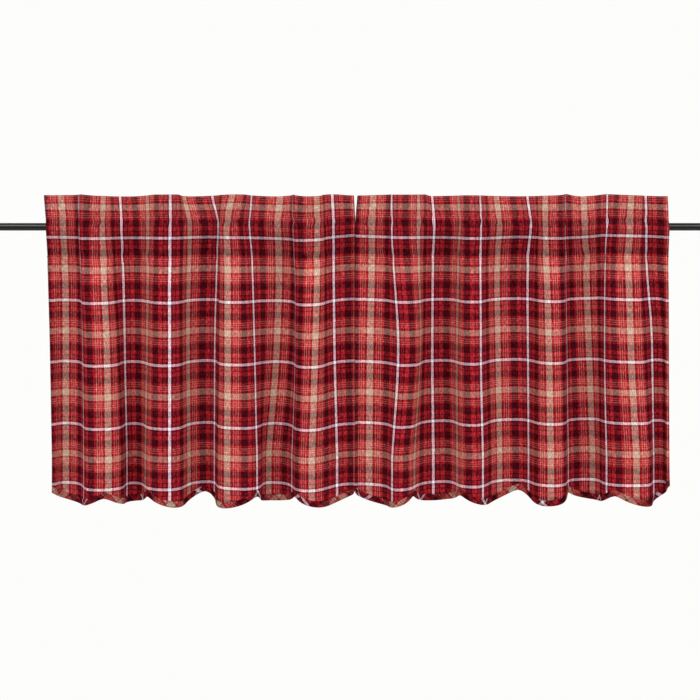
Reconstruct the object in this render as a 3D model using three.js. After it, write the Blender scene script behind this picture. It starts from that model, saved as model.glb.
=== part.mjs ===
// A pair of tier curtains gathered on one cafe rod.
//
// Each panel is one cloth. Its top is folded over to the back and stitched twice, so a
// doubled header stands above the rod and the rod runs through the pocket below it. The
// lower edge is cut in scallops, and a bias binding is folded over it.
//
// Millimetres. +X runs along the rod, +Z is up, and the room is on the -Y side. The origin
// is on the rod's axis, midway along it, where the two panels meet.

import * as THREE from 'three';

// ---- Driving dimensions ----

const PANEL_WIDTH = 914.4; // each cloth laid flat, between its side hems
const SCALLOPS = 6; // lobes along the lower edge of a panel
const SCALLOP_DEPTH = 23; // from a lobe's tip up to where its curve meets the next one
const NOTCH_EASE = 14; // reach of the rounding on each side of a notch, along the cloth
const CORNER_REACH = 66; // cloth beside the right panel's outer hem whose edge rises further
const CORNER_RISE = { left: 0, right: 14 }; // how far it rises at that hem
const COLUMNS_PER_SCALLOP = 10;

const CLOTH = 1.2; // thickness of one layer
const LAYER_GAP = 0.8; // between the two layers of the header
const TOP_Z = 62; // folded top edge of the header
const HEADER_SEAM_Z = 12.5; // stitching just above the rod
const POCKET_SEAM_Z = -58; // stitching that closes the pocket
const BELOW_Z = -125; // the folds have opened out again below the pocket
const MID_Z = -235;
const LOW_Z = -450; // below this height the folds hang straight down
const TIP_Z = -545; // cut edge at the lobes' tips
const SEAM_BAND = 3; // height of the stitched band at each seam

const BINDING = 1.0; // thickness of the folded bias strip
const BINDING_WIDTH = 10.5; // what shows of it on each side
const BINDING_GAP = 0.5; // between the binding's sides and the cloth inside it
const BINDING_DROP = 1; // between the cut edge and the binding's fold below it

const ROD_RADIUS = 7.5;
const ROD_LENGTH = 1440;
const ROD_CHAMFER = 0.8;
const ROD_SIDES = 32;

const FOLD = 46; // a full fold's reach to the front and to the back of the rod's axis
const SADDLE = 9.1; // radius of the pocket's corners round the rod, clear of it by 0.3

// ---- Folds ----
//
// A row for each fold line, from the panel's left side hem to its right one.
//   cloth                  how far along the flat cloth the line lies
//   top/rod/seam/mid/low   where it hangs along X at TOP_Z, at the rod, at POCKET_SEAM_Z,
//                          at MID_Z and at LOW_Z
//   stand                  how far it stands behind the middle of the folds, negative in front
//   leanTop, leanLow       which way the fold leans before the next line, at TOP_Z and at
//                          LOW_Z: above 0 its steep part is nearer that next line, below 0
//                          nearer this one

const LEFT_FOLDS = [
  { cloth: 0, top: -611, rod: -606, seam: -606, mid: -602, low: -598, stand: -1, leanTop: -0.4, leanLow: -0.4 },
  { cloth: 34, top: -578, rod: -572, seam: -573, mid: -573, low: -573, stand: 20, leanTop: 0.2, leanLow: 0.2 },
  { cloth: 136, top: -516, rod: -518, seam: -517, mid: -509, low: -506, stand: -42, leanTop: 0.1, leanLow: 0.7 },
  { cloth: 242, top: -448, rod: -444, seam: -445, mid: -444, low: -441, stand: 27, leanTop: 0.2, leanLow: -0.4 },
  { cloth: 350, top: -366, rod: -366, seam: -367, mid: -366, low: -366, stand: -40, leanTop: -0.3, leanLow: -0.1 },
  { cloth: 456, top: -302, rod: -295, seam: -296, mid: -301, low: -300, stand: 29, leanTop: 0.3, leanLow: 0 },
  { cloth: 550, top: -243, rod: -246, seam: -247, mid: -246, low: -247, stand: -40, leanTop: -0.7, leanLow: 0.6 },
  { cloth: 684, top: -140, rod: -144, seam: -143, mid: -148, low: -165, stand: 35, leanTop: -0.4, leanLow: 0.2 },
  { cloth: 796, top: -83, rod: -82, seam: -82, mid: -86, low: -93, stand: -44, leanTop: -0.6, leanLow: -0.1 },
  { cloth: 899, top: -16, rod: -14, seam: -14, mid: -13, low: -8, stand: 17, leanTop: 0, leanLow: 0 },
  { cloth: 914.4, top: -3, rod: -1, seam: -1, mid: 0, low: 0, stand: 14, leanTop: 0, leanLow: 0 },
];

const RIGHT_FOLDS = [
  { cloth: 0, top: 4, rod: 1, seam: 1, mid: 0, low: 0, stand: -6, leanTop: 0, leanLow: 0 },
  { cloth: 13, top: 15, rod: 12, seam: 12, mid: 9, low: 7, stand: 3, leanTop: 1, leanLow: 1 },
  { cloth: 108, top: 79, rod: 79, seam: 82, mid: 93, low: 80, stand: -43, leanTop: 0.2, leanLow: -0.3 },
  { cloth: 247, top: 170, rod: 174, seam: 173, mid: 173, low: 176, stand: 38, leanTop: 0.3, leanLow: -0.2 },
  { cloth: 336, top: 228, rod: 229, seam: 229, mid: 229, low: 233, stand: -26, leanTop: -0.6, leanLow: -0.5 },
  { cloth: 457, top: 319, rod: 317, seam: 318, mid: 321, low: 324, stand: 42, leanTop: 0.4, leanLow: -0.3 },
  { cloth: 558, top: 381, rod: 381, seam: 384, mid: 389, low: 393, stand: -23, leanTop: 0, leanLow: -0.4 },
  { cloth: 666, top: 443, rod: 441, seam: 448, mid: 457, low: 465, stand: 46, leanTop: 0, leanLow: -0.7 },
  { cloth: 817, top: 557, rod: 549, seam: 547, mid: 551, low: 562, stand: -27, leanTop: -0.4, leanLow: 0 },
  { cloth: 886, top: 586, rod: 586, seam: 589, mid: 602, low: 603, stand: 14, leanTop: 0.2, leanLow: 0.2 },
  { cloth: 914.4, top: 612, rod: 614, seam: 615, mid: 616, low: 617, stand: -7, leanTop: 0, leanLow: 0 },
];

// The section of the cloth, one row for each height that bends it.
//   ridge, valley   where the layer stands along Y on a full forward and a full backward fold
//   sewn            the layer is stitched to the other one here
//   slant           the cloth leans here, so it gets its thickness square to its own slope

const corner = SADDLE * Math.SQRT1_2;

const FRONT_ROWS = {
  hem: { z: TIP_Z, ridge: -FOLD, valley: FOLD },
  low: { z: LOW_Z, ridge: -FOLD, valley: FOLD },
  mid: { z: MID_Z, ridge: -FOLD, valley: FOLD },
  below: { z: BELOW_Z, ridge: -42, valley: 40 },
  pocketSeam: { z: POCKET_SEAM_Z, ridge: -28, valley: 18, sewn: true },
  rod: { z: 0, ridge: -32, valley: -10, slant: true },
  shoulder: { z: corner, ridge: -29, valley: -9.5, slant: true },
  over: { z: SADDLE, ridge: -27, valley: -9, slant: true },
  headerSeam: { z: HEADER_SEAM_Z, ridge: -24, valley: -8, sewn: true },
  top: { z: TOP_Z, ridge: -29, valley: 2, sewn: true },
};

const BACK_ROWS = {
  pocketSeam: FRONT_ROWS.pocketSeam,
  rod: { z: 0, ridge: 10.6, valley: 26, slant: true },
  shoulder: { z: corner, ridge: corner, valley: 20, slant: true },
  over: { z: SADDLE, ridge: 0, valley: 14, slant: true },
  headerSeam: FRONT_ROWS.headerSeam,
  top: FRONT_ROWS.top,
};

// ---- The bend of a fold ----
//
// From one fold line to the next the cloth turns away from the rod and back again by the
// angle bend * sin(pi * t), so its length along the fold stays the flat cloth's.

const BEND_STEPS = 40;
const LEAST_BEND = 0.01;
const MOST_BEND = 2.3;

/** How far the turn has got at a share t of the way between two fold lines. */
function turned(t, lean) {
  return lean < 0 ? 1 - (1 - t) ** Math.exp(-lean) : t ** Math.exp(lean);
}

/** Sum of fn(angle of the cloth) over the first share t of the way between two fold lines. */
function sweep(fn, bend, lean, t) {
  let sum = 0;
  for (let k = 0; k < BEND_STEPS; k += 1) {
    const here = (t * (k + 0.5)) / BEND_STEPS;
    sum += fn(bend * Math.sin(Math.PI * turned(here, lean)));
  }
  return (sum * t) / BEND_STEPS;
}

/** The bend that draws the cloth up to this share of its flat width. */
function bendFor(openness, lean) {
  let low = LEAST_BEND;
  let high = MOST_BEND;
  for (let k = 0; k < BEND_STEPS; k += 1) {
    const middle = (low + high) / 2;
    if (sweep(Math.cos, middle, lean, 1) > openness) low = middle;
    else high = middle;
  }
  return (low + high) / 2;
}

/** X of a fold line at height z. */
function foldX(fold, z) {
  const stations = [
    [TOP_Z, fold.top],
    [0, fold.rod],
    [POCKET_SEAM_Z, fold.seam],
    [MID_Z, fold.mid],
    [LOW_Z, fold.low],
  ];
  const next = stations.findIndex(([height]) => z >= height);
  if (next === 0) return fold.top;
  if (next < 0) return fold.low;
  const [[z0, x0], [z1, x1]] = [stations[next - 1], stations[next]];
  return THREE.MathUtils.mapLinear(z, z0, z1, x0, x1);
}

/** Which way the cloth leans after a fold line, at height z. */
function leanAt(fold, z) {
  const down = THREE.MathUtils.clamp((TOP_Z - z) / (TOP_Z - LOW_Z), 0, 1);
  return THREE.MathUtils.lerp(fold.leanTop, fold.leanLow, down);
}

/** Where the cloth hangs at one place along its width and one height: X, and its stand. */
function hang(folds, cloth, z) {
  const next = Math.max(1, folds.findIndex((fold) => fold.cloth >= cloth - 1e-6));
  const [from, to] = [folds[next - 1], folds[next]];
  const t = Math.min(1, (cloth - from.cloth) / (to.cloth - from.cloth));
  const [x0, x1] = [foldX(from, z), foldX(to, z)];
  const lean = leanAt(from, z);
  const bend = bendFor((x1 - x0) / (to.cloth - from.cloth), lean);
  const done = (fn) => sweep(fn, bend, lean, t) / sweep(fn, bend, lean, 1);
  return {
    x: THREE.MathUtils.lerp(x0, x1, done(Math.cos)),
    stand: THREE.MathUtils.lerp(from.stand, to.stand, done(Math.sin)),
  };
}

/** Height of the cut lower edge: round lobes that meet in small rounded notches. */
function edgeZ(cloth, rise) {
  const pitch = PANEL_WIDTH / SCALLOPS;
  const fromTip = (cloth % pitch) - pitch / 2;
  const radius = (pitch ** 2 / 4 + SCALLOP_DEPTH ** 2) / (2 * SCALLOP_DEPTH);
  const up = radius - Math.sqrt(radius ** 2 - fromTip ** 2);
  const inside = cloth > pitch / 2 && cloth < PANEL_WIDTH - pitch / 2;
  const fromNotch = Math.min(1, (pitch / 2 - Math.abs(fromTip)) / NOTCH_EASE);
  const dip = inside ? ((1 - fromNotch) ** 2 * NOTCH_EASE) / 4 : 0;
  const corner = Math.max(0, (cloth - PANEL_WIDTH) / CORNER_REACH + 1) ** 2;
  return TIP_Z + up - dip + rise * corner;
}

// ---- Cloth sheets and the solids round them ----

const UP = new THREE.Vector3(0, 0, 1);
const COLUMNS = SCALLOPS * COLUMNS_PER_SCALLOP;

/** How far along the flat cloth a column lies. */
function clothAt(column) {
  return (PANEL_WIDTH * column) / COLUMNS;
}

/** Middle of one layer at a column and a row of its section. */
function layerPoint(folds, row, column) {
  const { x, stand } = hang(folds, clothAt(column), row.z);
  const share = THREE.MathUtils.clamp((FOLD - stand) / (2 * FOLD), 0, 1);
  return new THREE.Vector3(x, THREE.MathUtils.lerp(row.valley, row.ridge, share), row.z);
}

/** Square to the cloth at one point, towards the back, as long as a mitre needs. */
function backward(before, here, after, height) {
  const first = height.clone().cross(here.clone().sub(before)).normalize();
  const second = height.clone().cross(after.clone().sub(here)).normalize();
  const back = first.clone().add(second).normalize();
  return back.divideScalar(back.dot(first.lengthSq() > 0 ? first : second));
}

/**
 * Faces of one layer at each column: a point on its outer and on its inner side at each row.
 * A sewn row's middle is the middle of both layers, so the layer lies to its own side of it.
 */
function layerFaces(folds, rows, side) {
  const names = Object.keys(rows);
  const grid = [];
  for (let column = 0; column <= COLUMNS; column += 1) {
    grid.push(names.map((name) => layerPoint(folds, rows[name], column)));
  }
  return grid.map((line, column) => {
    const before = grid[Math.max(0, column - 1)];
    const after = grid[Math.min(COLUMNS, column + 1)];
    const faces = {};
    names.forEach((name, j) => {
      const height = rows[name].slant ? line[j + 1].clone().sub(line[j - 1]) : UP;
      const back = backward(before[j], line[j], after[j], height);
      const middle = rows[name].sewn ? (side * (CLOTH + LAYER_GAP)) / 2 : 0;
      faces[name] = {
        outer: line[j].clone().addScaledVector(back, middle + (side * CLOTH) / 2),
        inner: line[j].clone().addScaledVector(back, middle - (side * CLOTH) / 2),
      };
    });
    return faces;
  });
}

/** Closed mesh through matching sections; the first loop is the outline, the rest are holes. */
function loft(sections) {
  const positions = [];
  const indices = [];
  const loopSizes = sections[0].map((loop) => loop.length);
  const sectionSize = loopSizes.reduce((sum, size) => sum + size, 0);
  const points = sections.flat(2);
  for (const point of points) positions.push(point.x, point.y, point.z);
  for (let s = 0; s < sections.length - 1; s += 1) {
    let start = s * sectionSize;
    for (const size of loopSizes) {
      for (let k = 0; k < size; k += 1) {
        const a = start + k;
        const b = start + ((k + 1) % size);
        const [c, d] = [a + sectionSize, b + sectionSize];
        // both faces of a sheet are split along the same diagonal, so it keeps its thickness
        if (points[a].z < points[b].z) indices.push(a, c, b, b, c, d);
        else indices.push(a, c, d, a, d, b);
      }
      start += size;
    }
  }
  for (const end of [0, sections.length - 1]) {
    const flat = sections[end].map((loop) => loop.map((point) => new THREE.Vector2(point.y, point.z)));
    const [outline, ...holes] = flat;
    for (const [a, b, c] of THREE.ShapeUtils.triangulateShape(outline, holes)) {
      const base = end * sectionSize;
      if (end === 0) indices.push(base + a, base + c, base + b);
      else indices.push(base + a, base + b, base + c);
    }
  }
  const geometry = new THREE.BufferGeometry();
  geometry.setAttribute('position', new THREE.Float32BufferAttribute(positions, 3));
  geometry.setIndex(indices);
  geometry.computeVertexNormals();
  return geometry;
}

/** Section of a panel at one column: its outline, the rod pocket and the header's slit. */
function panelSection(front, back, cloth, rise) {
  const lowered = (point, drop) => point.clone().setZ(point.z - drop);
  const between = (a, b) => a.clone().lerp(b, 0.5);
  const cut = (point) => point.clone().setZ(edgeZ(cloth, rise));
  const bandShare = SEAM_BAND / (TOP_Z - HEADER_SEAM_Z);
  const foldShare = 1 - CLOTH / (TOP_Z - HEADER_SEAM_Z);
  const slit = (face, share) => face.headerSeam.inner.clone().lerp(face.top.inner, share);
  const outline = [
    cut(front.hem.outer),
    front.low.outer,
    front.mid.outer,
    front.below.outer,
    front.pocketSeam.outer,
    front.rod.outer,
    front.shoulder.outer,
    front.over.outer,
    front.headerSeam.outer,
    front.top.outer,
    back.top.outer,
    back.headerSeam.outer,
    back.over.outer,
    back.shoulder.outer,
    back.rod.outer,
    back.pocketSeam.outer,
    lowered(front.pocketSeam.inner, SEAM_BAND),
    front.below.inner,
    front.mid.inner,
    front.low.inner,
    cut(front.hem.inner),
  ];
  const pocket = [
    lowered(between(front.headerSeam.inner, back.headerSeam.inner), SEAM_BAND / 2),
    front.over.inner,
    front.shoulder.inner,
    front.rod.inner,
    lowered(between(front.pocketSeam.inner, back.pocketSeam.inner), -SEAM_BAND / 2),
    back.rod.inner,
    back.shoulder.inner,
    back.over.inner,
  ];
  const header = [
    slit(front, bandShare),
    slit(back, bandShare),
    slit(back, foldShare),
    slit(front, foldShare),
  ];
  return [outline, pocket, header];
}

/** One panel: the cloth with its header, rod pocket and scalloped edge. */
function panelGeometry(folds, rise) {
  const front = layerFaces(folds, FRONT_ROWS, -1);
  const back = layerFaces(folds, BACK_ROWS, 1);
  return loft(front.map(
    (faces, column) => panelSection(faces, back[column], clothAt(column), rise),
  ));
}

/** The bias strip folded over a panel's scalloped edge. */
function bindingGeometry(folds, rise) {
  const inside = CLOTH / 2 + BINDING_GAP;
  const outside = inside + BINDING;
  const sections = [];
  for (let column = 0; column <= COLUMNS; column += 1) {
    const before = layerPoint(folds, FRONT_ROWS.hem, Math.max(0, column - 1));
    const here = layerPoint(folds, FRONT_ROWS.hem, column);
    const after = layerPoint(folds, FRONT_ROWS.hem, Math.min(COLUMNS, column + 1));
    const back = backward(before, here, after, UP);
    const place = (offset, z) => here.clone().addScaledVector(back, offset).setZ(z);
    const edge = edgeZ(clothAt(column), rise);
    const floor = edge - BINDING_DROP;
    const high = edge + BINDING_WIDTH;
    sections.push([[
      place(-outside, high),
      place(-inside, high),
      place(-inside, floor),
      place(inside, floor),
      place(inside, high),
      place(outside, high),
      place(outside, floor - BINDING),
      place(-outside, floor - BINDING),
    ]]);
  }
  return loft(sections);
}

/** The rod, a plain round bar with its end edges eased. */
function rodGeometry() {
  const half = ROD_LENGTH / 2;
  const profile = [
    new THREE.Vector2(0, -half),
    new THREE.Vector2(ROD_RADIUS - ROD_CHAMFER, -half),
    new THREE.Vector2(ROD_RADIUS, ROD_CHAMFER - half),
    new THREE.Vector2(ROD_RADIUS, half - ROD_CHAMFER),
    new THREE.Vector2(ROD_RADIUS - ROD_CHAMFER, half),
    new THREE.Vector2(0, half),
  ];
  return new THREE.LatheGeometry(profile, ROD_SIDES);
}

// ---- The object ----

const cloth = { color: 0xa8242f, roughness: 0.9, metalness: 0 };
const bias = { color: 0x8f1f29, roughness: 0.9, metalness: 0 };
const blackPaint = { color: 0x1c191c, roughness: 0.35, metalness: 0 };

function mesh(name, geometry, look) {
  const piece = new THREE.Mesh(geometry, new THREE.MeshStandardMaterial(look));
  piece.name = name;
  return piece;
}

const curtains = new THREE.Group();
curtains.add(mesh('panel_left', panelGeometry(LEFT_FOLDS, CORNER_RISE.left), cloth));
curtains.add(mesh('panel_right', panelGeometry(RIGHT_FOLDS, CORNER_RISE.right), cloth));
curtains.add(mesh('binding_left', bindingGeometry(LEFT_FOLDS, CORNER_RISE.left), bias));
curtains.add(mesh('binding_right', bindingGeometry(RIGHT_FOLDS, CORNER_RISE.right), bias));

const rod = mesh('rod', rodGeometry(), blackPaint);
rod.rotation.z = -Math.PI / 2;
curtains.add(rod);

export default curtains;
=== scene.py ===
"""Looks of a pair of tier curtains gathered on one cafe rod.

Each panel is one check cloth, doubled over at the top into a header and a rod pocket, with
turned side hems and six scallops bound with a bias strip of the same check. Sizes are in
millimetres in the tables and in metres in the meshes. +X runs along the rod, +Z is up and
the room is on the -Y side.
"""

import logging
import math
from dataclasses import dataclass
from enum import Enum

import bpy
import numpy as np
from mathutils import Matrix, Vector


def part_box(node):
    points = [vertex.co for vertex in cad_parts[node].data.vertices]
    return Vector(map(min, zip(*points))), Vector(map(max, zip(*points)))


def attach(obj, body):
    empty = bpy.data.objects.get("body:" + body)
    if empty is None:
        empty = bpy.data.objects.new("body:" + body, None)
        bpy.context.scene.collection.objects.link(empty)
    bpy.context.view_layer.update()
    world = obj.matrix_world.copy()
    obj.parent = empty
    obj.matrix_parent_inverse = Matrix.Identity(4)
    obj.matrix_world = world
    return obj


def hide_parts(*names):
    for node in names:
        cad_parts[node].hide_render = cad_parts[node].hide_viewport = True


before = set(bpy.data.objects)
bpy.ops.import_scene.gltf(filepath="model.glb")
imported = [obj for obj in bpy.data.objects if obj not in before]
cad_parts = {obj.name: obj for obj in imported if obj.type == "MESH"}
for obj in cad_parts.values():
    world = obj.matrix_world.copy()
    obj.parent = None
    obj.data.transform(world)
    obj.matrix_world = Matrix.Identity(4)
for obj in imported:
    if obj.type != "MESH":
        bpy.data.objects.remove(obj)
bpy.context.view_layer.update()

LOG = logging.getLogger("tier_curtains")
MM = 0.001


class Side(Enum):
    """Which panel of the pair."""

    LEFT = "left"
    RIGHT = "right"


class Face(Enum):
    """The face of the cloth towards the room, or the one towards the window."""

    ROOM = -1
    WINDOW = 1


# ---- Sizes of the cloth ----

PANEL_WIDTH = 914.4  # each cloth laid flat, between its side hems
SCALLOPS = 6  # lobes along the lower edge of a panel
SCALLOP_DEPTH = 23.0  # from a lobe's tip up to where its curve meets the next one
NOTCH_EASE = 14.0  # reach of the rounding on each side of a notch, along the cloth
TOP_Z = 62.0  # the header's fold
HEADER_SEAM_Z = 12.5  # stitching just above the rod
POCKET_SEAM_Z = -58.0  # stitching that closes the rod pocket
MID_Z = -235.0
LOW_Z = -450.0  # below this the folds hang straight down
TIP_Z = -545.0  # cut edge at the lobes' tips
FOLD = 46.0  # a full fold's reach to the front and to the back of the rod's axis
LAYER_APART = 0.75  # from the seam between the doubled layers to the middle of each
HEADER_PUFF = 0.8  # how much further apart the layers stand half-way up the header
STRIP_FACE = 10.5  # how much of the strip shows on each face
STRIP_THICK = 0.8
STRIP_CLEAR = 0.75  # from the cloth's face to the middle of the strip


@dataclass(frozen=True)
class Fold:
    """One fold line of a panel.

    Cloth is how far along the flat cloth it lies. The next five say where it hangs along X
    at the top, the rod, the pocket seam, MID_Z and LOW_Z. Stand is how far it stands behind
    the middle of the folds. The last two say which way the cloth leans before the next line,
    at the top and at LOW_Z: above 0 its steep part is nearer that line.
    """

    cloth: float
    top: float
    rod: float
    seam: float
    mid: float
    low: float
    stand: float
    lean_top: float
    lean_low: float


@dataclass(frozen=True)
class Flick:
    """How the corner beside a panel's right side hem turns up, out along X and back."""

    reach: float
    rise: float
    out: float
    back: float


FLICKS: dict[Side, Flick] = {
    Side.LEFT: Flick(66, 0, 0, 0),
    Side.RIGHT: Flick(66, 14, 6, 16),
}

# rounded from a least-squares fit made by another program; a second program worked out top,
# rod and seam again, and some values were then changed by hand
FOLDS: dict[Side, tuple[Fold, ...]] = {
    Side.LEFT: (
        Fold(0, -611, -606, -606, -602, -598, -1, -0.4, -0.4),
        Fold(34, -578, -572, -573, -573, -573, 20, 0.2, 0.2),
        Fold(136, -516, -518, -517, -509, -506, -42, 0.1, 0.7),
        Fold(242, -448, -444, -445, -444, -441, 27, 0.2, -0.4),
        Fold(350, -366, -366, -367, -366, -366, -40, -0.3, -0.1),
        Fold(456, -306, -292, -296, -301, -300, 29, 0.3, 0),
        Fold(550, -238, -249, -247, -246, -247, -40, -0.7, 0.6),
        Fold(684, -140, -144, -143, -148, -165, 35, -0.4, 0.2),
        Fold(796, -83, -82, -82, -86, -93, -44, -0.6, -0.1),
        Fold(899, -16, -14, -14, -13, -8, 17, 0, 0),
        Fold(914.4, -3, -0.1, -0.1, 0, 0, 14, 0, 0),
    ),
    Side.RIGHT: (
        Fold(0, 4, 0.2, 0.1, 0, 0, -6, 0, 0),
        Fold(13, 15, 12, 12, 9, 7, 3, 1, 1),
        Fold(108, 79, 79, 82, 93, 80, -43, 0.2, -0.3),
        Fold(247, 170, 174, 173, 173, 176, 38, 0.3, -0.2),
        Fold(336, 228, 229, 229, 229, 233, -26, -0.6, -0.5),
        Fold(457, 314, 320, 318, 321, 324, 42, 0.4, -0.3),
        Fold(558, 381, 381, 384, 389, 393, -23, 0, -0.4),
        Fold(666, 440, 441, 448, 457, 465, 46, 0, -0.7),
        Fold(817, 552, 549, 547, 551, 562, -27, -0.4, 0),
        Fold(886, 586, 586, 589, 602, 603, 14, 0.2, 0.2),
        Fold(914.4, 612, 614, 615, 616, 617, -7, 0, 0),
    ),
}


@dataclass(frozen=True)
class Stand:
    """Where a layer stands along Y at one height, on a full ridge and in a full valley."""

    z: float
    ridge: float
    valley: float


SHARED_SEAM = Stand(POCKET_SEAM_Z, -28, 18)
HEADER = (
    Stand(HEADER_SEAM_Z, -24, -8),
    Stand(34, -28, -4),
    Stand(TOP_Z, -29, 2),
)
FRONT = (
    Stand(TIP_Z, -FOLD, FOLD),
    Stand(MID_Z, -FOLD, FOLD),
    Stand(-125, -42, 40),
    SHARED_SEAM,
    Stand(-40, -31, 12),
    Stand(-24, -32, 3),
    Stand(-10, -32.5, -6),
    Stand(0, -32, -10),
    Stand(9.1, -27, -9.5),
    HEADER[0],
)
BACK = (
    SHARED_SEAM,
    Stand(-24, 2, 24),
    Stand(0, 11, 26),
    Stand(6.4, 7.5, 20),
    Stand(9.1, 1, 14),
    HEADER[0],
)


@dataclass(frozen=True)
class Creep:
    """How much further down the flat cloth a place lies than its height says."""

    z: float
    more: float


# the cloth creeps a few millimetres down or up as its folds tilt; these are averages of
# offsets that another program measured
CREEP: dict[Side, tuple[Creep, ...]] = {
    Side.LEFT: (
        Creep(-510, 0),
        Creep(-388, -3.8),
        Creep(-266, -2.6),
        Creep(-144, -2.8),
        Creep(-22, 1.4),
        Creep(TOP_Z, 0),
    ),
    Side.RIGHT: (
        Creep(-510, 2.4),
        Creep(-388, 1.6),
        Creep(-266, -0.3),
        Creep(-144, -0.3),
        Creep(-22, 3),
        Creep(TOP_Z, 0),
    ),
}


@dataclass(frozen=True)
class Tug:
    """How much more a place's cloth creeps down at the header and at the hem."""

    cloth: float
    header: float
    hem: float


# chosen with the help of the same offsets
TUGS: dict[Side, tuple[Tug, ...]] = {
    Side.LEFT: (
        Tug(0, 1, 3),
        Tug(60, 0, 2),
        Tug(125, -1, 0),
        Tug(400, 0, 0),
        Tug(520, 1, 4),
        Tug(600, 0, 0),
        Tug(765, -5, -1),
        Tug(830, -2, -1),
        Tug(PANEL_WIDTH, 5, 0),
    ),
    Side.RIGHT: (
        Tug(0, 2, 1),
        Tug(60, 0, -1),
        Tug(180, -1, -3),
        Tug(390, -3, 1),
        Tug(460, -1, 0),
        Tug(600, -3, 3),
        Tug(660, -2, 1),
        Tug(735, 3, 2),
        Tug(870, 1, 4),
        Tug(PANEL_WIDTH, -1, 1),
    ),
}


@dataclass(frozen=True)
class Rise:
    """How far the header's fold stands above its mean height at one place of the cloth."""

    cloth: float
    up: float


RISES: dict[Side, tuple[Rise, ...]] = {
    Side.LEFT: (
        Rise(0, 0),
        Rise(60, 0.6),
        Rise(105, 2.2),
        Rise(150, -0.4),
        Rise(245, -2.4),
        Rise(325, 2),
        Rise(365, 2.2),
        Rise(440, -2.2),
        Rise(556, 2.4),
        Rise(668, -2.4),
        Rise(733, 2),
        Rise(785, -1.4),
        Rise(868, 2),
        Rise(910, -0.6),
    ),
    Side.RIGHT: (
        Rise(0, -0.6),
        Rise(95, 2),
        Rise(200, 1.8),
        Rise(226, -1.8),
        Rise(330, 0.4),
        Rise(460, -2.2),
        Rise(560, 0),
        Rise(630, 2.4),
        Rise(670, -2.4),
        Rise(740, 2.2),
        Rise(830, 0),
        Rise(900, -1.8),
    ),
}


@dataclass(frozen=True)
class Waves:
    """An uneven wave in the cloth: its height, its longest and shortest wave, and its slant."""

    height: float
    longest: float
    shortest: float
    slant: float = 0.0


POCKET_PUCKERS = Waves(1.1, 34, 12, 0.15)
GATHERS = Waves(0.9, 60, 24, -0.1)
HEADER_PUCKERS = Waves(0.9, 40, 15)
HEADER_PUSH = Waves(2.2, 90, 36)
POCKET_PUSH = Waves(1.5, 90, 36)
STRIP_PLUMP = Waves(0.0625, 26, 9)
STRIP_WOBBLE = Waves(0.35, 60, 20)


@dataclass(frozen=True)
class Cut:
    """Where in the check a bias strip was cut: along the strip and across it."""

    along: float
    across: float


CUTS: dict[Side, Cut] = {
    Side.LEFT: Cut(20, -8),
    Side.RIGHT: Cut(105, -12),
}


# ---- Curves and noise ----


def through(at: np.ndarray, xs: list[float], ys: list[float]) -> np.ndarray:
    """Smooth curve through points that never swings past them.

    Args:
        at: places to read the curve at.
        xs: places of the points, rising.
        ys: heights of the points.

    Returns:
        The curve's height at each place.
    """
    x, y = np.array(xs, float), np.array(ys, float)
    step, rise = np.diff(x), np.diff(y) / np.diff(x)
    slope = np.zeros_like(y)
    slope[0], slope[-1] = rise[0], rise[-1]
    same = rise[:-1] * rise[1:] > 0
    w1, w2 = 2 * step[1:] + step[:-1], step[1:] + 2 * step[:-1]
    with np.errstate(divide="ignore", invalid="ignore"):
        mean = (w1 + w2) / (w1 / rise[:-1] + w2 / rise[1:])
    slope[1:-1] = np.where(same, mean, 0)
    at = np.clip(at, x[0], x[-1])
    k = np.clip(np.searchsorted(x, at, side="right") - 1, 0, len(step) - 1)
    h = step[k]
    t = (at - x[k]) / h
    return (
        y[k] * (1 + 2 * t) * (1 - t) ** 2
        + slope[k] * h * t * (1 - t) ** 2
        + y[k + 1] * t * t * (3 - 2 * t)
        + slope[k + 1] * h * t * t * (t - 1)
    )


def soft_step(at: np.ndarray, low: float, high: float) -> np.ndarray:
    """Rises smoothly from 0 at low to 1 at high, or falls if high is below low."""
    t = np.clip((at - low) / (high - low), 0, 1)
    return t * t * (3 - 2 * t)


def bump(at: np.ndarray, middle: float, before: float, after: float) -> np.ndarray:
    """A soft hump of height 1 that dies away over one width below and another above."""
    width = np.where(at < middle, before, after)
    return np.exp(-(((at - middle) / width) ** 2))


def ripple(at: np.ndarray, rng: np.random.Generator, waves: Waves) -> np.ndarray:
    """An uneven wave.

    Args:
        at: places along it, in millimetres.
        rng: where its phases come from.
        waves: its height and its wavelengths.

    Returns:
        The wave's height at each place.
    """
    lengths = np.geomspace(waves.longest, waves.shortest, 6) * rng.uniform(0.9, 1.1, 6)
    phases = rng.uniform(0, 2 * math.pi, 6)
    turns = 2 * math.pi / lengths
    total = sum(np.cos(at * turn + phase) for turn, phase in zip(turns, phases))
    return waves.height * total / math.sqrt(len(lengths))


# ---- How a panel hangs ----


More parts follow.
